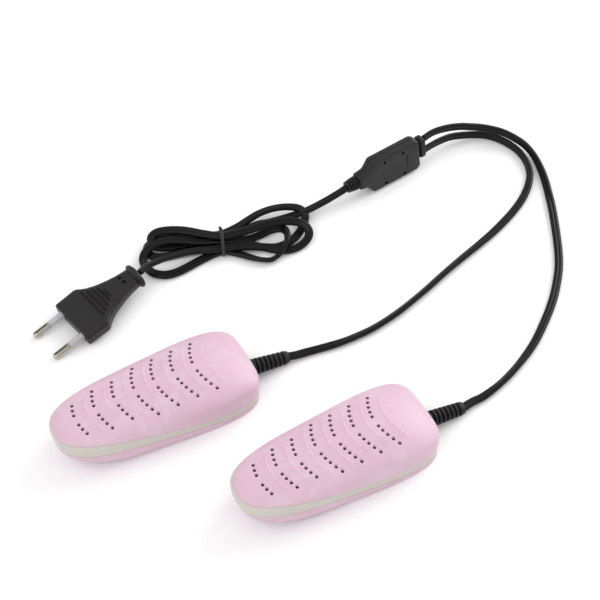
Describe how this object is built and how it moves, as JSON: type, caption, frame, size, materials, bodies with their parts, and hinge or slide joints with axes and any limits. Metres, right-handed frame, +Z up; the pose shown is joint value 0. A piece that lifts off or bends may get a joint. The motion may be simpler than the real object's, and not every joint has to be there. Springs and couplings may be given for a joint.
{
  "type": "boot dryer",
  "caption": "Pair of toe-shaped electric boot dryers with perforated tops, joined by flat leads to a Y joint, and a tied mains lead ending in a two-pin plug.",
  "frame": {"origin": "middle of the floor area that the two dryers cover, on the surface they rest on", "axes": "+Z up; +X towards the heels' side, from the toes to the cord exits, and +Y from the dryers towards the plug and the Y joint. Each dryer is turned about 29 degrees from +X."},
  "size_m": [0.2942, 0.271, 0.0285],
  "materials": {
    "pink_shell": "pale pink pearlescent moulded plastic, soft gloss",
    "cream_band": "cream moulded plastic, satin",
    "black_housing": "black moulded plastic, fine grain",
    "black_rubber": "black flexible PVC, satin",
    "lead_jacket": "black two-core flat PVC lead",
    "tie_wire": "black plastic-covered tie wire",
    "nickel_pin": "nickel-plated brass",
    "pin_sleeve": "pale grey insulating sleeve",
    "heat_plate": "extruded aluminium",
    "ceramic": "fired ceramic element",
    "mica": "pressed mica sheet",
    "fuse_can": "metal-cased thermal fuse",
    "white_nylon": "white nylon",
    "screw_steel": "zinc-plated steel"
  },
  "bodies": {
    "root": {"left_upper_shell": "pink_shell", "left_trim_band": "cream_band", "left_lower_shell": "pink_shell", "left_heat_plate_bottom": "heat_plate", "left_heat_plate_top": "heat_plate", "left_ceramic_heater": "ceramic", "left_heater_bracket": "mica", "left_thermal_fuse": "fuse_can", "left_crimp_splice_1": "white_nylon", "left_crimp_splice_2": "white_nylon", "left_cord_clamp": "white_nylon", "left_cord_boot": "black_rubber", "left_screw_1": "screw_steel", "left_screw_2": "screw_steel", "left_screw_3": "screw_steel", "right_upper_shell": "pink_shell", "right_trim_band": "cream_band", "right_lower_shell": "pink_shell", "right_heat_plate_bottom": "heat_plate", "right_heat_plate_top": "heat_plate", "right_ceramic_heater": "ceramic", "right_heater_bracket": "mica", "right_thermal_fuse": "fuse_can", "right_crimp_splice_1": "white_nylon", "right_crimp_splice_2": "white_nylon", "right_cord_clamp": "white_nylon", "right_cord_boot": "black_rubber", "right_screw_1": "screw_steel", "right_screw_2": "screw_steel", "right_screw_3": "screw_steel", "joint_front_half": "black_housing", "joint_back_half": "black_housing", "joint_inlet_relief": "black_rubber", "joint_outlet_grommet": "black_rubber", "joint_splice_1": "white_nylon", "joint_splice_2": "white_nylon", "plug_body": "black_housing", "plug_pin_1": "nickel_pin", "plug_pin_2": "nickel_pin", "plug_pin_sleeve_1": "pin_sleeve", "plug_pin_sleeve_2": "pin_sleeve", "left_branch_lead": "lead_jacket", "right_branch_lead": "lead_jacket", "mains_lead_plug_end": "lead_jacket", "mains_lead_joint_end": "lead_jacket", "mains_lead_hank": "lead_jacket", "twist_tie": "tie_wire"}
  },
  "joints": []
}
